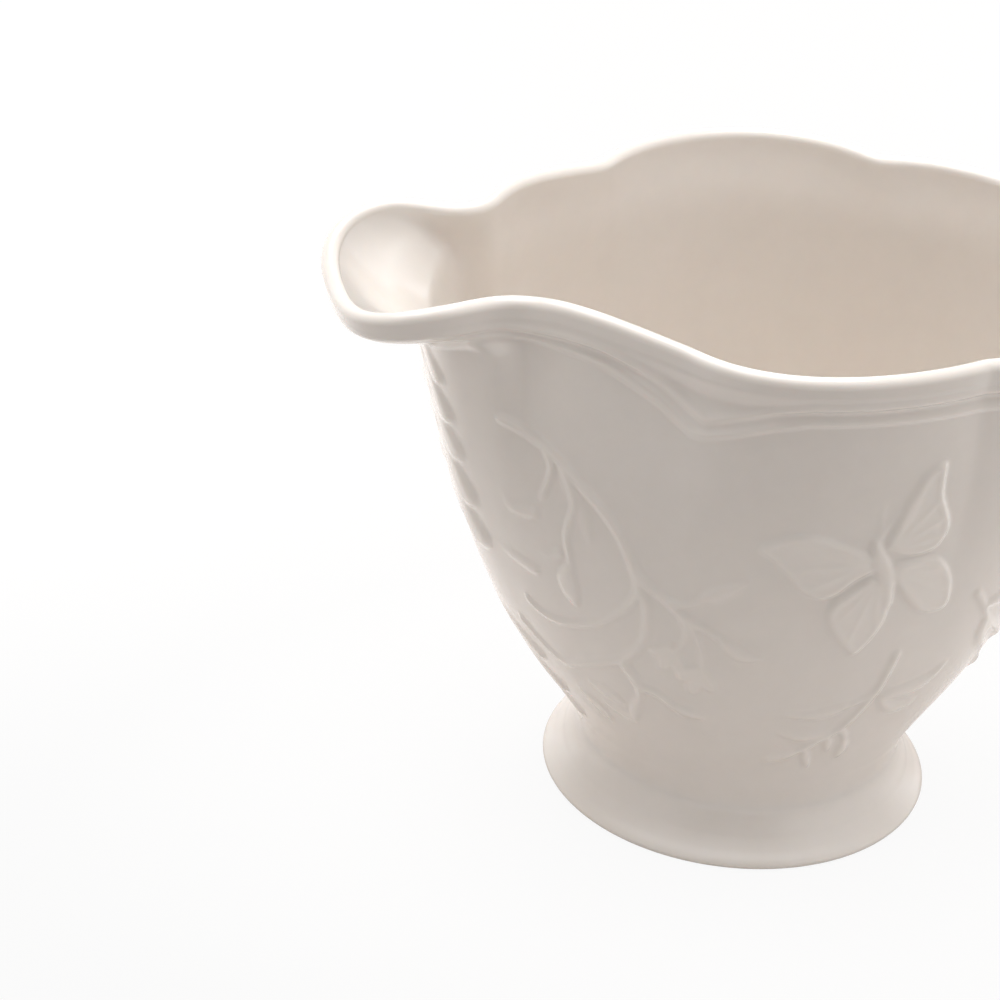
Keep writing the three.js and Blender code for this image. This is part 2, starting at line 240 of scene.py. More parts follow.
# ---- relief on the wall ---------------------------------------------------------------------
# A place on the wall is (bearing from the handle in degrees, height in mm); both sides mirror.
class WallMap:
    """turns bearings and heights into points of the outer wall"""

    def __init__(self, p):
        self.levels = np.arange(9.0, 92.0, 1.0)
        side = p[:, p[p.shape[0] // 2, :, 1] <= 0.01]
        self.x = np.array([np.interp(self.levels, c[:, 2], c[:, 0]) for c in side.swapaxes(0, 1)])
        self.y = np.array([np.interp(self.levels, c[:, 2], c[:, 1]) for c in side.swapaxes(0, 1)])

    def points(self, places):
        out = []
        for bearing, z in places:
            level = min(max(z - self.levels[0], 0), len(self.levels) - 1.001)
            i, f = int(level), level - int(level)
            x = self.x[:, i] * (1 - f) + self.x[:, i + 1] * f
            y = self.y[:, i] * (1 - f) + self.y[:, i + 1] * f
            b = np.degrees(np.arctan2(-y, x))
            order = np.argsort(b)
            side = -1 if bearing > 180 else 1
            folded = 360 - bearing if bearing > 180 else abs(bearing)
            if bearing < 0:
                side = -1
            radius = np.interp(folded, b[order], np.hypot(x, y)[order])
            a = math.radians(folded)
            out.append((radius * math.cos(a), -side * radius * math.sin(a), z))
        return np.array(out)


def stem_profile(q, u):
    return np.clip(1 - q * q, 0, 1) ** 1.4


def leaf_profile(q, u):
    """a leaf that swells to its edge, with a rib along its middle"""
    body = smooth(1.0, 0.55, q) * (0.62 + 0.20 * np.clip(q, 0, 1))
    rib = 0.38 * np.exp(-((q / 0.20) ** 2))
    return body + rib * smooth(0.0, 0.12, u)


def scale_profile(q, u):
    """a leaf that thickens towards its tip and ends in a step, like a shingle"""
    return smooth(1.0, 0.45, q) * (0.10 + 0.90 * u)


def petal_profile(q, u):
    """a petal, hollow in the middle"""
    return smooth(1.0, 0.5, q) * (0.65 + 0.35 * np.clip(q / 0.7, 0, 1) ** 2)


def bud_profile(q, u):
    return np.sqrt(np.clip(1 - q * q, 0, 1)) * smooth(1.0, 0.9, q)


def stem_width(u, w):
    return w * (0.78 + 0.22 * np.cos(2.2 * u))


def leaf_width(u, w):
    return w * np.clip(np.sin(math.pi * np.clip(u, 0, 1) ** 0.8), 0.06, 1) ** 0.85


def scale_width(u, w):
    return w * (0.45 + 0.55 * np.clip(u / 0.6, 0, 1) ** 0.7)


def petal_width(u, w):
    return w * np.clip(np.sin(math.pi * np.clip(0.08 + 0.92 * u, 0, 1) ** 1.5), 0.12, 1) ** 0.6


def bud_width(u, w):
    return w * np.clip(np.sin(math.pi * np.clip(u, 0.02, 0.98)), 0.1, 1) ** 0.6


KINDS = {
    "stem": (stem_profile, stem_width),
    "leaf": (leaf_profile, leaf_width),
    "petal": (petal_profile, petal_width),
    "scale": (scale_profile, scale_width),
    "bud": (bud_profile, bud_width),
}

GLAZE_BLUR = 0.95        # in steps of the wall mesh
# kind, half width and height in mm, places along it
SPRAY = [
    ("stem", 0.90, 0.62, [(162.5, 76), (159.5, 73.5), (156, 71.5), (152.5, 69), (149.5, 66.5),
                          (145.5, 63.5), (142, 60), (139.5, 56.5), (137.5, 53), (137, 50),
                          (139, 47), (143, 43.5), (148.5, 41), (155.5, 39.5), (160, 40), (163, 41.5)]),
    ("stem", 0.80, 0.55, [(156.5, 71), (155.5, 69), (156, 66), (157, 63)]),
    ("stem", 0.80, 0.58, [(153.5, 69), (152, 66.5), (151, 63), (152, 59.5), (152.5, 56.5),
                          (152, 53.5), (151.5, 51)]),
    ("bud", 1.7, 0.62, [(152.5, 51.5), (152.5, 48), (151, 44.5)]),
    ("leaf", 1.5, 0.26, [(154, 68), (149.5, 62), (147.5, 56)]),
    ("scale", 1.2, 0.42, [(163.5, 62), (162, 59.5), (158.5, 59.5)]),
    ("scale", 1.2, 0.42, [(167, 50.5), (163.5, 49.5), (159.5, 48.5)]),
    ("scale", 1.0, 0.36, [(158.5, 53), (156, 52), (154, 53.5)]),
    ("stem", 0.80, 0.66, [(138, 53.5), (134, 51), (130.5, 49.5), (127, 47.5), (123, 46),
                          (118, 44.5), (113.5, 42.5)]),
    ("leaf", 1.35, 0.66, [(115, 43), (110, 40.5), (104, 40)]),
    ("stem", 0.65, 0.58, [(130, 49.5), (125.5, 49), (121, 50.5)]),
    ("leaf", 1.7, 0.60, [(122, 50.5), (116.5, 52.5), (110, 55)]),
    ("stem", 0.60, 0.55, [(127, 47.5), (124.5, 44.5), (125, 42), (127, 40)]),
    ("stem", 0.60, 0.55, [(123.5, 46), (121.5, 42.5), (120, 40), (120, 37)]),
    ("petal", 1.35, 0.62, [(128.5, 41), (130.5, 39.5), (133, 39)]),
    ("petal", 1.35, 0.62, [(128.5, 40.5), (129.5, 38), (130.5, 36)]),
    ("petal", 1.25, 0.60, [(128, 40.5), (126.5, 38), (126, 36)]),
    ("petal", 1.35, 0.62, [(120.5, 37.5), (123.5, 36), (125.5, 34.5)]),
    ("petal", 1.35, 0.62, [(120, 37), (121.5, 34), (122, 32)]),
    ("petal", 1.25, 0.60, [(119.5, 37), (118, 34.5), (116.5, 33)]),
    ("stem", 0.85, 0.60, [(137, 51), (135, 48), (134.5, 44.5), (135, 41), (137.5, 38), (142, 35),
                          (150, 32.5), (157, 30.5), (161.5, 31.5), (165, 33.5), (168, 35.5)]),
    ("stem", 0.80, 0.64, [(141, 35.5), (138.5, 33), (136, 31), (132, 30.5), (128.5, 29), (124.5, 27.5)]),
    ("leaf", 1.2, 0.60, [(127, 28.5), (122.5, 27.5), (118, 27)]),
    ("stem", 0.68, 0.56, [(138, 32.5), (136.5, 30), (137, 27)]),
    ("leaf", 1.2, 0.55, [(137, 28), (138.5, 25.5), (139.5, 22.5)]),
    ("petal", 1.4, 0.42, [(151, 28), (147, 27.5), (142, 26)]),
    ("petal", 1.4, 0.42, [(148, 24.5), (143.5, 24), (138.5, 23)]),
    ("petal", 1.3, 0.38, [(156, 25), (152, 23), (148, 20.5)]),
]
SPRIG = [
    ("stem", 0.75, 0.66, [(63.5, 38.5), (65, 34.5), (66.5, 31.5), (69.5, 28.5), (72, 26.5),
                          (75, 24.5), (80, 23), (86, 21), (92, 19.5)]),
    ("stem", 0.60, 0.52, [(66.5, 31.5), (70.5, 30), (76, 29)]),
    ("leaf", 1.1, 0.58, [(74, 29.5), (80, 28.5), (86, 28), (97, 28.5)]),
    ("leaf", 1.0, 0.55, [(76.5, 24), (83, 23.5), (89, 23.5), (97, 25)]),
    ("leaf", 1.0, 0.56, [(88, 20.5), (93, 19.5), (99, 18.5)]),
    ("stem", 0.60, 0.55, [(75, 24.5), (72.5, 22.5), (72, 20.5)]),
    ("bud", 1.0, 0.60, [(72.3, 21.5), (72, 19.8), (73, 18.2)]),
    ("bud", 0.8, 0.55, [(85.5, 21), (84.5, 19), (83, 16.8)]),
    ("bud", 0.8, 0.50, [(78.5, 23), (78, 21.5), (77, 19.8)]),
    ("leaf", 1.6, 0.62, [(65, 30), (57, 30), (50, 31), (44.5, 33.5)]),
    ("leaf", 1.2, 0.58, [(65, 30), (60, 27), (55, 26.5), (50.5, 27)]),
]
UNDER_SPOUT = [
    ("stem", 0.9, 0.45, [(180, 84), (179.5, 74), (180, 62), (180, 50)]),
    ("scale", 2.4, 0.60, [(180, 85), (177, 81.5), (174, 78.5)]),
    ("scale", 2.7, 0.80, [(180, 79.5), (176.5, 75.5), (173.5, 72)]),
    ("scale", 3.0, 0.78, [(180, 73.5), (176.5, 69.5), (173, 65.5)]),
    ("scale", 3.2, 0.90, [(180, 66.5), (176, 62), (172.5, 57.5)]),
    ("scale", 3.2, 0.84, [(180, 58.5), (176, 54), (172, 50)]),
    ("scale", 1.9, 0.60, [(180, 36.5), (174, 32), (168, 28.5)]),
    ("scale", 1.8, 0.62, [(180, 29), (173, 25), (167, 22)]),
    ("scale", 1.5, 0.60, [(180, 22), (173, 19), (167, 16.5)]),
]
BESIDE_HANDLE = [
    ("stem", 0.75, 0.55, [(43.5, 47), (40, 44), (36, 40), (31, 36.5), (26, 34)]),
    ("leaf", 1.5, 0.60, [(39, 43.5), (33, 43.5), (27, 42)]),
    ("leaf", 1.5, 0.60, [(37, 41), (35, 36), (30, 31.5)]),
    ("bud", 1.2, 0.65, [(27.5, 34.5), (24, 33), (20.5, 32)]),
    ("stem", 0.5, 0.45, [(34, 38), (31, 33), (27, 28.5)]),
    ("bud", 1.0, 0.60, [(27.5, 29.5), (24, 27), (21, 25.5)]),
]
BUTTERFLY = {
    "body": ("bud", 1.55, 0.95, [(78.5, 62.5), (75.8, 58.5), (73, 55), (70.5, 49.5)]),
    "feelers": [
        ("stem", 0.38, 0.36, [(78, 62), (77.3, 65), (78, 69.5)]),
        ("stem", 0.38, 0.36, [(77.5, 62), (75.5, 65), (73.5, 67.5)]),
    ],
    "wings": [
        [(77.5, 59.5), (86, 62), (93.5, 64.2), (100.5, 64.2), (108.5, 62), (104, 59.2), (99.5, 56),
         (96, 53.4), (90.5, 52), (86, 52.8), (82, 55), (76, 57.2)],
        [(76.5, 55.8), (82.5, 53.4), (87, 51), (87.5, 47.5), (83.5, 43.5), (78, 40.2), (74.5, 42),
         (71.5, 45), (70.3, 48.5), (72, 52)],
        [(75.5, 60.5), (74, 64), (72.5, 67.5), (70, 71), (67.5, 74), (62.5, 75.5), (61.5, 69.5),
         (57.7, 63.5), (58.5, 60.5), (61.5, 58.8), (68, 58.6)],
        [(73, 57.3), (66, 57.8), (60.5, 57.6), (56.3, 55.5), (53, 52), (52, 48), (53.5, 46),
         (60, 46.6), (64.5, 49), (69.5, 53)],
    ],
    "hinges": [(76, 58.5), (75, 56), (75.5, 59.5), (73.5, 56.5)],
    "height": 0.48,
    "edge": 0.26,
    "vein": 0.22,
}
# depth of the upper bead below the rim crest, and of the lower bead below the upper one
BEAD_DEPTH = [(0, 4.8), (100, 5.0), (109, 6.4), (116, 8.2), (124.5, 10.5), (136, 7.0), (148, 5.0),
              (160, 4.8), (168, 3.6), (180, 3.2)]
BEAD_GAP = [(0, 3.6), (116, 3.3), (124.5, 3.1), (128, 4.2), (136, 3.8), (148, 3.1), (160, 2.2),
            (168, 1.5), (180, 1.2)]
BEAD_WIDTHS = (0.85, 0.72)
BEAD_RISES = (0.44, 0.38, 0.10)      # upper bead, lower bead and the band between them


def near(p, q, reach):
    low, high = q.min(0) - reach, q.max(0) + reach
    return np.nonzero(np.all((p >= low) & (p <= high), axis=-1))[0]


def raise_stroke(p, height, wall, kind, width, rise, places):
    """lifts the wall along one stroke; p is the wall folded onto the y < 0 side"""
    profile, widths = KINDS[kind]
    count = 6 * len(places) + 10
    line = wall.points(catmull(places, count))
    best_q = np.full(len(p), 9.0)
    best_u = np.zeros(len(p))
    for k in range(0, count - 1, 6):
        part = line[k:min(k + 7, count)]
        rows = near(p, part, width * 1.1)
        if not len(rows):
            continue
        for i in range(len(part) - 1):
            a, b = part[i], part[i + 1]
            ab = b - a
            t = np.clip((p[rows] - a) @ ab / max(ab @ ab, 1e-9), 0, 1)
            d = np.linalg.norm(p[rows] - a - t[:, None] * ab, axis=-1)
            u = (k + i + t) / (count - 1)
            q = d / widths(u, width)
            better = q < best_q[rows]
            best_q[rows[better]] = q[better]
            best_u[rows[better]] = u[better]
    hit = best_q < 1
    lift = rise * profile(best_q[hit], best_u[hit])
    height[hit] = soft_max(height[hit], lift)


def soft_max(a, b):
    """the larger of two heights, with a small fillet where they cross"""
    k = 0.06
    return 0.5 * (a + b + np.sqrt((a - b) ** 2 + k * k) - k)


def raise_wing(p, height, wall, places, hinge, style):
    """lifts one butterfly wing: a plate with a raised edge and fine veins from the body"""
    loop = wall.points(catmull(places + places[:1], 12 * len(places)))
    root = wall.points([hinge])[0]
    centre = loop.mean(0)
    _, _, axes = np.linalg.svd(loop - centre)
    rows = near(p, loop, 0.5)
    q = (p[rows] - centre) @ axes[:2].T
    edge = (loop - centre) @ axes[:2].T
    base = (root - centre) @ axes[:2].T
    nearest = np.full(len(rows), 9.0)
    inside = np.zeros(len(rows), bool)
    for a, b in zip(edge, np.roll(edge, -1, 0)):
        ab = b - a
        t = np.clip((q - a) @ ab / max(ab @ ab, 1e-9), 0, 1)
        nearest = np.minimum(nearest, np.linalg.norm(q - a - t[:, None] * ab, axis=-1))
        crosses = (a[1] > q[:, 1]) != (b[1] > q[:, 1])
        x = a[0] + (q[:, 1] - a[1]) / (ab[1] if abs(ab[1]) > 1e-9 else 1e-9) * ab[0]
        inside ^= crosses & (q[:, 0] < x)
    d = np.where(inside, nearest, -nearest)
    plate = style["height"] * smooth(-0.15, 0.55, d)
    border = style["edge"] * np.exp(-(((d - 0.65) / 0.42) ** 2))
    # veins fan out from the body
    away = q - base
    reach = np.linalg.norm(away, axis=-1)
    spread = np.arctan2(away[:, 1], away[:, 0])
    middle = math.atan2(*(edge.mean(0) - base)[::-1])
    turn = (spread - middle + math.pi) % (2 * math.pi) - math.pi
    fan = np.zeros(len(rows))
    for k in range(-2, 3):
        off = np.abs(turn - 0.21 * k - 0.012 * k * reach) * reach
        fan = np.maximum(fan, np.exp(-((off / 0.28) ** 2)))
    veins = style["vein"] * fan * smooth(0.6, 1.6, d) * smooth(1.0, 3.0, reach)
    lift = (plate + border * (d > -0.3) + veins) * smooth(0.0, 2.5, reach)
    height[rows] = np.maximum(height[rows], lift)


def bead_height(p, crest_z):
    """two beads that follow the scallops below the rim"""
    bearing = np.degrees(np.arctan2(np.abs(p[..., 1]), p[..., 0]))
    upper = np.interp(bearing, *zip(*BEAD_DEPTH))
    gap = np.interp(bearing, *zip(*BEAD_GAP))
    depth = crest_z - p[..., 2]
    steep = 1.0 + 0.45 * np.exp(-(((bearing - 130) / 10) ** 2))
    fade = smooth(178, 159, bearing)
    first = np.exp(-(((depth - upper) / (BEAD_WIDTHS[0] * steep)) ** 2))
    second = np.exp(-(((depth - upper - gap) / (BEAD_WIDTHS[1] * steep)) ** 2))
    band = smooth(-0.5, 0.6, depth - upper) * smooth(0.5, -0.6, depth - upper - gap)
    return fade * (BEAD_RISES[0] * first + BEAD_RISES[1] * second + BEAD_RISES[2] * band)


def relief(p, crest_z):
    """height of the relief over the wall, for a grid of wall points"""
    wall = WallMap(p)
    flat = p.reshape(-1, 3).copy()
    folded = flat * np.where(flat[:, 1:2] > 0, [1, -1, 1], [1, 1, 1])
    height = np.zeros(len(flat))
    for group in (SPRAY, SPRIG, UNDER_SPOUT, BESIDE_HANDLE):
        for kind, width, rise, places in group:
            raise_stroke(folded, height, wall, kind, width, rise, places)
    for places, hinge in zip(BUTTERFLY["wings"], BUTTERFLY["hinges"]):
        raise_wing(folded, height, wall, places, hinge, BUTTERFLY)
    for kind, width, rise, places in [BUTTERFLY["body"], *BUTTERFLY["feelers"]]:
        raise_stroke(folded, height, wall, kind, width, rise, places)
    height = height.reshape(p.shape[:2])
    # glaze rounds every edge of the mould's work
    height = blur_rows(blur_loop(height, GLAZE_BLUR, 1), GLAZE_BLUR)
    return np.maximum(height, bead_height(p, crest_z))


# ---- mesh helpers ---------------------------------------------------------------------------
def to_row_frame(p):
    return (np.asarray(p, float) + [AXIS_X, 0, 0]) * 0.001


def add_mesh(name, verts, faces):
    mesh = bpy.data.meshes.new(name)
    mesh.from_pydata(verts, [], faces)
    obj = bpy.data.objects.new(name, mesh)
    bpy.context.scene.collection.objects.link(obj)
    return obj


def add_surface(name, verts, faces):
    obj = add_mesh(name, to_row_frame(verts).tolist(), faces)
    obj.data.shade_smooth()
    obj.data.update()
    return obj


def closed_surface(name, start_pole, rows, end_pole):
    """closed mesh from a pole, rows of equal length and a second pole"""
    count, n = len(rows), len(rows[0])
    verts = np.concatenate([[start_pole], np.concatenate(rows), [end_pole]])
    j = np.arange(n)
    k = (j + 1) % n
    quads = []
    for i in range(count - 1):
        a, b = 1 + i * n + j, 1 + i * n + k
        quads.append(np.stack([a, b, b + n, a + n], -1))
    quads = np.concatenate(quads)
    last = 1 + count * n
    caps = np.concatenate([
        np.stack([np.zeros(n, int), 1 + k, 1 + j], -1),
        np.stack([np.full(n, last), last - n + j, last - n + k], -1),
    ])
    return add_surface(name, verts, quads.tolist() + caps.tolist())


def ring_surface(name, rows):
    """closed ring from a closed profile swept round: rows of equal length, the last joins the first"""
    n = len(rows[0])
    verts = np.concatenate(rows)
    j = np.arange(n)
    k = (j + 1) % n
    quads = []
    for i in range(len(rows)):
        a, b = i * n, ((i + 1) % len(rows)) * n
        quads.append(np.stack([a + j, a + k, b + k, b + j], -1))
    return add_surface(name, verts, np.concatenate(quads).tolist())


def paint(obj, name, values):
    """a value for each vertex that the material can read"""
    attribute = obj.data.attributes.new(name, "FLOAT", "POINT")
    attribute.data.foreach_set("value", np.asarray(values, np.float32))


# ---- bowl -----------------------------------------------------------------------------------
def direction(degrees):
    a = math.radians(degrees)
    return np.array([math.cos(a), 0, math.sin(a)])


def pull_boss(p, root):
    """draws the wall out to the handle root, with a fillet round it"""
    centre, tilt = np.array(root[0], float), root[1]
    d = direction(tilt)
    out = np.array([d[2], 0, -d[0]])
    rel = p - centre
    along = rel @ d
    q = np.hypot(rel @ out / ROOT_DEPTH, rel[..., 1] / ROOT_WIDTH)
    k = np.clip(1 - (q - 1) / BOSS_FLARE, 0, 1) ** BOSS_FALL
    reach = (along < 0) & (along > -BOSS_REACH)
    move = np.where(reach, -along * np.where(q < 1, 1, k), 0)
    return p + move[..., None] * d


def make_bowl(waist):
    s = np.concatenate([[0, 0.0002], even_rows(OUTER_ROWS)[1:]])
    outer, t = outer_rows(s)
    height = relief(outer, np.broadcast_to(RIM_LINE[:, 2], outer.shape[:2])) * smooth(0.985, 0.96, t)
    around = np.roll(outer, -1, 1) - np.roll(outer, 1, 1)
    normals = unit(np.cross(around, np.gradient(outer, axis=0)))
    normals = unit(blur_loop(normals, 2.0, 1))
    near_handle = outer[..., 0] > BOSS_FROM_X
    shaped = outer + normals * height[..., None]
    for i in np.nonzero(outer[:, 0, 2] < WAIST_TOP)[0]:
        lift = waist.at(waist.lift, outer[i, :, 2])
        shaped[i] += lift[:, None] * waist.ring(1.0, 0.0)
    for root in (UPPER_ROOT, LOWER_ROOT):
        shaped = np.where(near_handle[..., None], pull_boss(shaped, root), shaped)
    rows = [shaped[0] * [k, k, 1] for k in (0.5, 0.9, 0.9995)] + list(shaped)
    values = [np.zeros(outer.shape[1])] * 3 + list(height)
    for a in np.linspace(0, math.pi, RIM_ROWS + 1)[1:-1]:
        row = RIM_LINE + [0, 0, RIM_ROUND * (math.sin(a) - 1)]
        row[:, :2] += RIM_NORMALS * RIM_ROUND * math.cos(a)
        rows.append(row)
        values.append(np.zeros(len(row)))
    inner = inner_rows(np.linspace(1, INNER_START, INNER_ROWS))
    rows.extend(inner)
    low = inner[-1]
    corner = low * [0.985, 0.985, 1]
    corner[:, 2] = low[:, 2] * 0.6 + 12.9 * 0.4
    rows.append(corner)
    for k, z in FLOOR_ROWS:
        row = low * [k, k, 1]
        row[:, 2] = z
        rows.append(row)
    values.extend([np.zeros(outer.shape[1])] * (len(rows) - len(values)))
    bowl = closed_surface("porcelain_bowl", (0, 0, BOWL_SEAT_Z), rows, (0, 0, BOWL_FLOOR_Z))
    paint(bowl, "relief", np.concatenate([[0], np.concatenate(values), [0]]))
    return bowl


# ---- foot -----------------------------------------------------------------------------------
def foot_outside():
    return catmull(FOOT_OUTSIDE, 90)


class Waist:
    """outside of foot, slip and lowest wall as one hollow curve, for every column of the wall"""

    def __init__(self, wall):
        self.z = np.arange(WAIST_BOTTOM, WAIST_TOP, WAIST_STEP)
        foot = foot_outside()
        low = np.interp(self.z, foot[20:, 1], foot[20:, 0])
        reach = np.hypot(wall[..., 0], wall[..., 1])
        high = np.array([np.interp(self.z, z, r) for z, r in zip(wall[..., 2].T, reach.T)]).T
        self.bearing = np.arctan2(wall[0, :, 1], wall[0, :, 0])
        self.base = np.where(self.z[:, None] < 0.5 * (FOOT_TOP_Z + BOWL_SEAT_Z), low[:, None], high)
        rounded = blur_rows(self.base, WAIST_FILLET / WAIST_STEP)
        window = smooth(3.6, 5.0, self.z) * smooth(13.6, 12.2, self.z)
        self.lift = np.maximum(rounded - self.base, 0) * window[:, None]

    def at(self, grid, z):
        """values of one grid at height z (one number, or one for every column)"""
        level = np.clip((z - self.z[0]) / WAIST_STEP, 0, len(self.z) - 1.001) + np.zeros(grid.shape[1])
        i, f = level.astype(int), level % 1
        column = np.arange(grid.shape[1])
        return grid[i, column] * (1 - f) + grid[i + 1, column] * f

    def ring(self, r, z):
        """one row of points at radius r and height z, in step with the wall's columns"""
        r = r + np.zeros(len(self.bearing))
        return np.stack([r * np.cos(self.bearing), r * np.sin(self.bearing), z + 0 * r], -1)


def make_foot(waist):
    outside = foot_outside()
    inside = catmull(FOOT_INSIDE, 34)
    rows = [waist.ring(r, 0.0) for r in np.linspace(*STANDING_RING, 8)[1:-1]]
    a = waist.bearing
    for r, z in [*outside[:-1], (outside[-1][0] + 0.001, FOOT_TOP_Z - 0.01), outside[-1]]:
        # the foot is a touch uneven, as trimmed and fired porcelain is
        wobble = 0.05 * np.cos(2 * a + 0.7) + 0.03 * np.cos(5 * a + 2.0)
        uneven = wobble * smooth(0.2, 1.5, z) * smooth(6.5, 4.5, z)
        rows.append(waist.ring(r + uneven + waist.at(waist.lift, z), z))
    edge = np.hypot(rows[-1][:, 0], rows[-1][:, 1])
    rows += [waist.ring(edge * k, FOOT_TOP_Z) for k in (0.9995, 0.96, 0.90)]
    rows += [waist.ring(r, z) for r, z in inside]
    return ring_surface("porcelain_foot", rows)


def make_foot_slip(waist):
    """thin ring of slip and glaze that fills the joint between foot and bowl, flush outside"""
    outside = waist.base + waist.lift
    heights = (FOOT_TOP_Z, FOOT_TOP_Z + 0.004, FOOT_TOP_Z + 0.2, BOWL_SEAT_Z - 0.004, BOWL_SEAT_Z)
    rows = [waist.ring(waist.at(outside, z), z) for z in heights]
    top = waist.at(outside, BOWL_SEAT_Z)
    bottom = waist.at(outside, FOOT_TOP_Z)
    rows += [waist.ring(top * 0.9995, BOWL_SEAT_Z), waist.ring(FOOT_SLIP_BORE, BOWL_SEAT_Z),
             waist.ring(FOOT_SLIP_BORE, FOOT_TOP_Z), waist.ring(bottom * 0.9995, FOOT_TOP_Z)]
    return ring_surface("foot_slip_band", rows)


# ---- handle ---------------------------------------------------------------------------------
def tube_rows(centres, tangents, depths, widths, sides=40):
    a = 2 * math.pi * np.arange(sides) / sides
    rows = []
    for c, t, d, w in zip(centres, tangents, depths, widths):
        out = unit(np.array([t[2], 0, -t[0]]))
        rows.append(c + np.outer(np.cos(a) * d, out) + np.outer(np.sin(a) * w, [0, 1, 0]))
    return rows


def scroll_rows(points, depth, width, end_depth, end_width, count=40):
    line = catmull([(x, 0, z) for x, z in points], count)
    u = np.linspace(0, 1, count)
    cap = np.sqrt(np.clip(1 - np.clip((u - 0.86) / 0.14, 0, 1) ** 2, 0.04, 1))
    return line, tube_rows(line, np.gradient(line, axis=0), (depth + (end_depth - depth) * u) * cap,
                           (width + (end_width - width) * u) * cap)


def make_handle():
    start = np.array(UPPER_ROOT[0]) + direction(UPPER_ROOT[1]) * SLIP
    end = np.array(LOWER_ROOT[0]) + direction(LOWER_ROOT[1]) * SLIP
    back = np.array(HANDLE_BACK, float)
    t = np.linspace(0, 1, 61)
    upper = cubic([start, start + direction(UPPER_ROOT[1]) * HANDLE_RISE,
                   back + [0, 0, HANDLE_BACK_UP], back], t)
    lower = cubic([back, back - [0, 0, HANDLE_BACK_DOWN],
                   end + direction(LOWER_ROOT[1]) * HANDLE_DROP, end], t)
    line = np.concatenate([upper, lower[1:]])
    share = np.concatenate([(1 - t) ** 3, t[1:] ** 3])
    tangents = np.gradient(line, axis=0)
    tangents[0], tangents[-1] = direction(UPPER_ROOT[1]), -direction(LOWER_ROOT[1])
    rows = tube_rows(line, tangents, GRIP_DEPTH + (ROOT_DEPTH - GRIP_DEPTH) * share,
                     GRIP_WIDTH + (ROOT_WIDTH - GRIP_WIDTH) * share)
    parts = [closed_surface("handle_body", line[0], rows, line[-1])]
    for name, path, size in (("thumb", THUMB_SCROLL, THUMB_SIZE), ("spur", SPUR, SPUR_SIZE)):
        line, rows = scroll_rows(path, *size)
        parts.append(closed_surface(name, line[0], rows, line[-1]))
    return fuse("scroll_handle", parts, HANDLE_VOXEL, HANDLE_SOFTENING)


def fuse(name, parts, voxel, rounds):
    """one skin round overlapping parts, with soft fillets where they meet"""
    verts, faces = [], []
    for part in parts:
        base = len(verts)
        verts += [v.co[:] for v in part.data.vertices]
        faces += [[base + i for i in f.vertices] for f in part.data.polygons]
        old = part.data
        bpy.data.objects.remove(part)
        bpy.data.meshes.remove(old)
    obj = add_mesh(name, verts, faces)
    mesh = obj.data
    remesh = obj.modifiers.new("skin", "REMESH")
    remesh.mode = "VOXEL"
    remesh.voxel_size = voxel
    soften = obj.modifiers.new("soften", "SMOOTH")
    soften.factor = 0.5
    soften.iterations = rounds
    bpy.context.view_layer.update()
    evaluated = obj.evaluated_get(bpy.context.evaluated_depsgraph_get())
    fused = bpy.data.meshes.new_from_object(evaluated)
    obj.modifiers.clear()
    obj.data = fused
    bpy.data.meshes.remove(mesh)
    fused.name = name
    fused.shade_smooth()
    return obj


def make_root_slip(name, root):
    """rounded collar of slip and glaze round one handle root"""
    centre, d = np.array(root[0], float), direction(root[1])
    out = np.array([d[2], 0, -d[0]])
    a = 2 * math.pi * np.arange(96) / 96
    rows = []
    for along, grow in COLLAR:
        rows.append(centre + d * along + np.outer(np.cos(a) * (ROOT_DEPTH + grow), out)
                    + np.outer(np.sin(a) * (ROOT_WIDTH + grow), [0, 1, 0]))
    return closed_surface(name, centre + d * COLLAR[0][0], rows, centre + d * COLLAR[-1][0])


# ---- materials ------------------------------------------------------------------------------
def node(tree, kind, inputs=None, **settings):
    n = tree.nodes.new(kind)
    for k, v in settings.items():
        setattr(n, k, v)
    for k, v in (inputs or {}).items():
        if isinstance(v, bpy.types.NodeSocket):
            tree.links.new(v, n.inputs[k])
        else:
            n.inputs[k].default_value = v
    return n


def noise(tree, place, scale, detail, roughness):
    return node(tree, "ShaderNodeTexNoise", {"Vector": place, "Scale": scale, "Detail": detail,
                                             "Roughness": roughness})


GLAZE = (0.822, 0.767, 0.712)
SPECK = (0.42, 0.34, 0.27, 1)


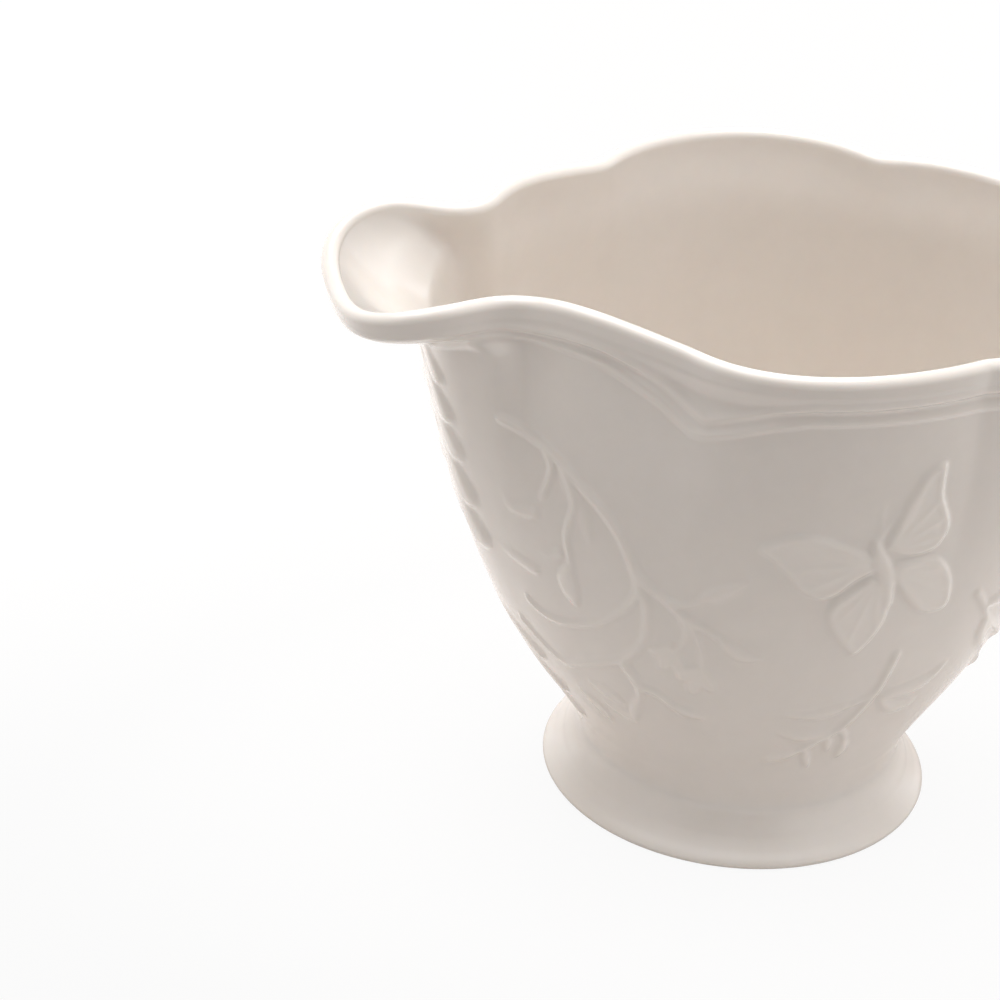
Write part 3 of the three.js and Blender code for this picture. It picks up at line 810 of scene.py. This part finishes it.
def porcelain(name, bare_foot=False, relief_highlight=False):
    """warm white glaze; for the foot also the bare clay that it stands on; for the bowl also a painted
    highlight on the raised relief
    """
    material = bpy.data.materials.new(name)
    material.use_nodes = True
    tree = material.node_tree
    tree.nodes.clear()
    place = node(tree, "ShaderNodeTexCoord").outputs["Object"]
    # broad, faint clouding of the glaze and finer mottling
    cloud = noise(tree, place, 26.0, 4.0, 0.55)
    mottle = noise(tree, place, 240.0, 5.0, 0.6)
    warm = tuple(v * k for v, k in zip(GLAZE, (0.985, 0.968, 0.945))) + (1,)
    cool = tuple(v * k for v, k in zip(GLAZE, (1.008, 1.012, 1.020))) + (1,)
    shade = node(tree, "ShaderNodeMix", {"Factor": cloud.outputs["Fac"], 6: warm, 7: cool},
                 data_type="RGBA")
    fine = node(tree, "ShaderNodeMapRange", {"Value": mottle.outputs["Fac"], "From Min": 0.3,
                                             "From Max": 0.7, "To Min": 0.985, "To Max": 1.01})
    tone = fine.outputs["Result"]
    if relief_highlight:
        # raised relief is painted up to 5% lighter than the flat wall: a painted highlight on the raised
        # work
        raised = node(tree, "ShaderNodeAttribute", attribute_name="relief").outputs["Fac"]
        raised_highlight = node(tree, "ShaderNodeMapRange", {"Value": raised, "From Min": 0.0, "From Max": 0.7,
                                                 "To Min": 1.0, "To Max": 1.05})
        tone = node(tree, "ShaderNodeMath", {0: tone, 1: raised_highlight.outputs["Result"]},
                    operation="MULTIPLY").outputs["Value"]
    colour = node(tree, "ShaderNodeVectorMath", {0: shade.outputs[2], "Scale": tone},
                  operation="SCALE").outputs["Vector"]
    # sparse pin specks in the fired body
    speck = node(tree, "ShaderNodeTexVoronoi", {"Vector": place, "Scale": 130.0, "Randomness": 1.0})
    pick = node(tree, "ShaderNodeTexWhiteNoise", {"Vector": speck.outputs["Position"]})
    rare = node(tree, "ShaderNodeMath", {0: pick.outputs["Value"], 1: 0.985}, operation="GREATER_THAN")
    dot = node(tree, "ShaderNodeMapRange", {"Value": speck.outputs["Distance"], "From Min": 0.012,
                                            "From Max": 0.03, "To Min": 0.22, "To Max": 0.0})
    amount = node(tree, "ShaderNodeMath", {0: rare.outputs["Value"], 1: dot.outputs["Result"]},
                  operation="MULTIPLY")
    speckled = node(tree, "ShaderNodeMix", {"Factor": amount.outputs["Value"], 6: colour,
                                            7: SPECK}, data_type="RGBA").outputs[2]
    rough = node(tree, "ShaderNodeMapRange", {
        "Value": cloud.outputs["Fac"], "From Min": 0.3, "From Max": 0.7,
        "To Min": 0.12, "To Max": 0.21}).outputs["Result"]
    # glaze lies in long soft waves with a fine orange-peel skin
    wave = noise(tree, place, 150.0, 2.0, 0.4)
    peel = noise(tree, place, 1100.0, 2.0, 0.5)
    first = node(tree, "ShaderNodeBump", {"Height": wave.outputs["Fac"], "Strength": 0.30,
                                          "Distance": 0.00012})
    bump = node(tree, "ShaderNodeBump", {"Height": peel.outputs["Fac"], "Strength": 0.18,
                                         "Distance": 0.00003, "Normal": first.outputs["Normal"]})
    shader = node(tree, "ShaderNodeBsdfPrincipled", {
        "Base Color": speckled, "Roughness": rough, "Normal": bump.outputs["Normal"],
        "IOR": 1.5, "Coat Weight": 0.6, "Coat Roughness": 0.08, "Coat IOR": 1.5,
        "Subsurface Weight": 0.12, "Subsurface Scale": 0.0015,
    })
    shader.inputs["Subsurface Radius"].default_value = (1.0, 0.7, 0.45)
    result = shader.outputs["BSDF"]
    if bare_foot:
        # the ring that the foot stands on is wiped free of glaze before firing
        height = node(tree, "ShaderNodeSeparateXYZ", {"Vector": place}).outputs["Z"]
        ragged = node(tree, "ShaderNodeMath", {0: mottle.outputs["Fac"], 1: 0.0005}, operation="MULTIPLY")
        edge = node(tree, "ShaderNodeMath", {0: height, 1: ragged.outputs["Value"]}, operation="SUBTRACT")
        bare = node(tree, "ShaderNodeMapRange", {"Value": edge.outputs["Value"], "From Min": 0.00002,
                                                 "From Max": -0.00012, "To Min": 0.0, "To Max": 1.0})
        grain = noise(tree, place, 2600.0, 3.0, 0.5)
        clay = node(tree, "ShaderNodeMix", {"Factor": grain.outputs["Fac"], 6: (0.70, 0.66, 0.61, 1),
                                            7: (0.80, 0.77, 0.73, 1)}, data_type="RGBA").outputs[2]
        tooth = node(tree, "ShaderNodeBump", {"Height": grain.outputs["Fac"], "Strength": 0.5,
                                              "Distance": 0.00006})
        biscuit = node(tree, "ShaderNodeBsdfPrincipled", {
            "Base Color": clay, "Roughness": 0.85, "Normal": tooth.outputs["Normal"]})
        result = node(tree, "ShaderNodeMixShader", {0: bare.outputs["Result"], 1: result,
                                                    2: biscuit.outputs["BSDF"]}).outputs["Shader"]
    tree.nodes.active = node(tree, "ShaderNodeOutputMaterial", {"Surface": result})
    return material


# ---- stage, light and camera ----------------------------------------------------------------
BACKDROP = 0.99
FLOOR_EVENNESS = 0.92
# the floor's colour is painted lighter under and behind the jug and darker towards the lens: painted
# light and shade, which the floor throws back onto the jug
FLOOR_PAINTED_SHADE, FLOOR_PAINTED_LIGHT, FLOOR_TINT = 0.32, 0.78, (1.0, 0.955, 0.925)
FLOOR_SIDE_GLOW = 0.21   # light cards lying on the floor to the left and right
AIM = (0, 0, 0.05)       # what the soft boxes point at
BEHIND = (0.24, 0.97, 0)
ACROSS = (0.97, -0.24, 0)
# soft light from one part of the sky: direction, where it fades in and is full, strength, colour
SKY = [
    ((0, 0, 1), 0.55, 0.95, 1.33, (0.985, 1.0, 1.02)),
    (BEHIND, 0.2, 0.9, 0.95, (0.99, 1.0, 1.005)),
    (ACROSS, 0.2, 0.9, 0.92, (1.0, 0.975, 0.96)),
    ((-0.97, 0.24, 0), 0.2, 0.9, 0.72, (1.0, 0.975, 0.96)),
    ((-0.24, -0.97, 0), 0.2, 0.9, 0.05, (1.0, 0.97, 0.95)),
]


def ramp(tree, value, low, high, start, end):
    """smooth change from start to end while value goes from low to high"""
    return node(tree, "ShaderNodeMapRange", {"Value": value, "From Min": low, "From Max": high,
                                             "To Min": start, "To Max": end},
                interpolation_type="SMOOTHSTEP").outputs["Result"]


def make_stage():
    n = 96
    a = np.linspace(0, 2 * math.pi, n, endpoint=False)
    radii = (0.3, 0.8, 1.6, 3.0, 8.0)
    verts = [(0, 0, 0)] + [(r * math.cos(b), r * math.sin(b), 0) for r in radii for b in a]
    faces = [(0, 1 + j, 1 + (j + 1) % n) for j in range(n)]
    for i in range(len(radii) - 1):
        for j in range(n):
            p, q = 1 + i * n + j, 1 + i * n + (j + 1) % n
            faces.append((p, p + n, q + n, q))
    floor = add_mesh("floor", verts, faces)
    material = bpy.data.materials.new("pale_floor")
    material.use_nodes = True
    tree = material.node_tree
    tree.nodes.clear()
    place = node(tree, "ShaderNodeTexCoord").outputs["Object"]
    behind = node(tree, "ShaderNodeVectorMath", {0: place, 1: BEHIND}, operation="DOT_PRODUCT")
    away = node(tree, "ShaderNodeVectorMath", {0: place}, operation="LENGTH")
    # painted light and shade on the floor: lighter behind the jug and close round it, darker in front
    painted_floor_light = node(tree, "ShaderNodeMath", {
        0: ramp(tree, behind.outputs["Value"], -0.05, 0.08, FLOOR_PAINTED_SHADE, FLOOR_PAINTED_LIGHT),
        1: ramp(tree, away.outputs["Value"], 0.05, 0.13, FLOOR_PAINTED_LIGHT, FLOOR_PAINTED_SHADE)}, operation="MAXIMUM")
    tint = node(tree, "ShaderNodeVectorMath", {0: FLOOR_TINT, "Scale": painted_floor_light.outputs["Value"]},
                operation="SCALE")
    paper = node(tree, "ShaderNodeBsdfDiffuse", {"Color": tint.outputs["Vector"]})
    across = node(tree, "ShaderNodeVectorMath", {0: place, 1: ACROSS}, operation="DOT_PRODUCT")
    side = node(tree, "ShaderNodeMath", {0: across.outputs["Value"]}, operation="ABSOLUTE")
    glow = ramp(tree, side.outputs["Value"], 0.02, 0.12, 0, FLOOR_SIDE_GLOW)
    cards = node(tree, "ShaderNodeEmission", {"Color": (1, 1, 1, 1), "Strength": glow})
    glowing = node(tree, "ShaderNodeAddShader", {0: paper.outputs["BSDF"], 1: cards.outputs["Emission"]})
    # to the lens the floor is even, bright paper with hardly any shadow
    bright = node(tree, "ShaderNodeEmission", {"Color": (1, 1, 1, 1), "Strength": BACKDROP})
    path = node(tree, "ShaderNodeLightPath")
    seen = node(tree, "ShaderNodeMath", {0: path.outputs["Is Camera Ray"], 1: FLOOR_EVENNESS},
                operation="MULTIPLY")
    mix = node(tree, "ShaderNodeMixShader", {0: seen.outputs["Value"], 1: glowing.outputs["Shader"],
                                             2: bright.outputs["Emission"]})
    node(tree, "ShaderNodeOutputMaterial", {"Surface": mix.outputs["Shader"]})
    floor.data.materials.append(material)


def make_world():
    world = bpy.data.worlds.new("studio")
    bpy.context.scene.world = world
    world.use_nodes = True
    tree = world.node_tree
    tree.nodes.clear()
    way = node(tree, "ShaderNodeTexCoord").outputs["Generated"]
    total = None
    for towards, low, high, strength, colour in SKY:
        facing = node(tree, "ShaderNodeVectorMath", {0: way, 1: towards}, operation="DOT_PRODUCT")
        glow = node(tree, "ShaderNodeVectorMath", {
            0: colour, "Scale": ramp(tree, facing.outputs["Value"], low, high, 0.0, strength)},
            operation="SCALE").outputs["Vector"]
        if total is not None:
            both = node(tree, "ShaderNodeVectorMath", {0: total, 1: glow}, operation="ADD")
            glow = both.outputs["Vector"]
        total = glow
    lit = node(tree, "ShaderNodeBackground", {"Color": total, "Strength": 1.0})
    seen = node(tree, "ShaderNodeBackground", {"Color": (1, 1, 1, 1), "Strength": BACKDROP})
    path = node(tree, "ShaderNodeLightPath")
    mix = node(tree, "ShaderNodeMixShader", {
        0: path.outputs["Is Camera Ray"], 1: lit.outputs["Background"], 2: seen.outputs["Background"]})
    node(tree, "ShaderNodeOutputWorld", {"Surface": mix.outputs["Shader"]})


def softbox(name, place, size, power):
    data = bpy.data.lights.new(name, "AREA")
    data.shape = "RECTANGLE"
    data.size, data.size_y = size
    data.energy = power
    light = bpy.data.objects.new(name, data)
    bpy.context.scene.collection.objects.link(light)
    light.location = place
    light.rotation_mode = "QUATERNION"
    light.rotation_quaternion = (Vector(AIM) - Vector(place)).to_track_quat("-Z", "Y")


def make_camera():
    """looks down over the front side, with the jug's spout to the left and its handle out of view"""
    pitch, turn, roll = math.radians(31.7), math.radians(16.5), math.radians(6)
    distance, across, down = 1340.4, 40.713, -37.471
    right = Vector((math.cos(turn), -math.sin(turn), 0))
    level = Vector((math.sin(turn), math.cos(turn), 0))
    ahead = level * math.cos(pitch) - Vector((0, 0, math.sin(pitch)))
    up = level * math.sin(pitch) + Vector((0, 0, math.cos(pitch)))
    place = (-across * right - down * up - distance * ahead + Vector((AXIS_X, 0, 0))) * 0.001
    side = right * math.cos(roll) + up * math.sin(roll)
    top = up * math.cos(roll) - right * math.sin(roll)
    data = bpy.data.cameras.new("camera")
    data.sensor_width = 36.0
    data.lens = 306.0
    data.clip_start, data.clip_end = 0.05, 30.0
    camera = bpy.data.objects.new("camera", data)
    bpy.context.scene.collection.objects.link(camera)
    turned = Matrix((side, top, -ahead)).transposed()
    camera.matrix_world = Matrix.Translation(place) @ turned.to_4x4()
    bpy.context.scene.camera = camera


# ---- assembly -------------------------------------------------------------------------------
make_camera()
make_world()
make_stage()
softbox("back_softbox", (0.5, 1.6, 0.75), (0.4, 0.2), 2.2)
softbox("top_softbox", (-0.1, 0.3, 1.5), (1.2, 1.2), 11.0)

waist = Waist(outer_rows(np.linspace(0, 0.3, 120))[0])
pieces = [
    # the bowl's glaze gets a painted highlight on its raised relief
    (make_bowl(waist), "bowl", "glazed_porcelain", porcelain("glaze_bowl", relief_highlight=True)),
    (make_foot(waist), "foot", "glazed_porcelain", porcelain("glaze_foot", bare_foot=True)),
    (make_foot_slip(waist), "foot_slip_joint", "luting_slip", porcelain("glaze_over_foot_slip")),
    (make_handle(), "handle", "glazed_porcelain", porcelain("glaze_handle")),
    (make_root_slip("upper_root_collar", UPPER_ROOT), "handle_upper_slip_joint", "luting_slip",
     porcelain("glaze_over_upper_slip")),
    (make_root_slip("lower_root_collar", LOWER_ROOT), "handle_lower_slip_joint", "luting_slip",
     porcelain("glaze_over_lower_slip")),
]
for piece, cad_node, slot, material in pieces:
    piece.data.materials.clear()
    piece.data.materials.append(material)
    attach(piece, "root")
    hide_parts(cad_node)

scene = bpy.context.scene
scene.view_settings.view_transform = "Standard"
scene.view_settings.look = "None"
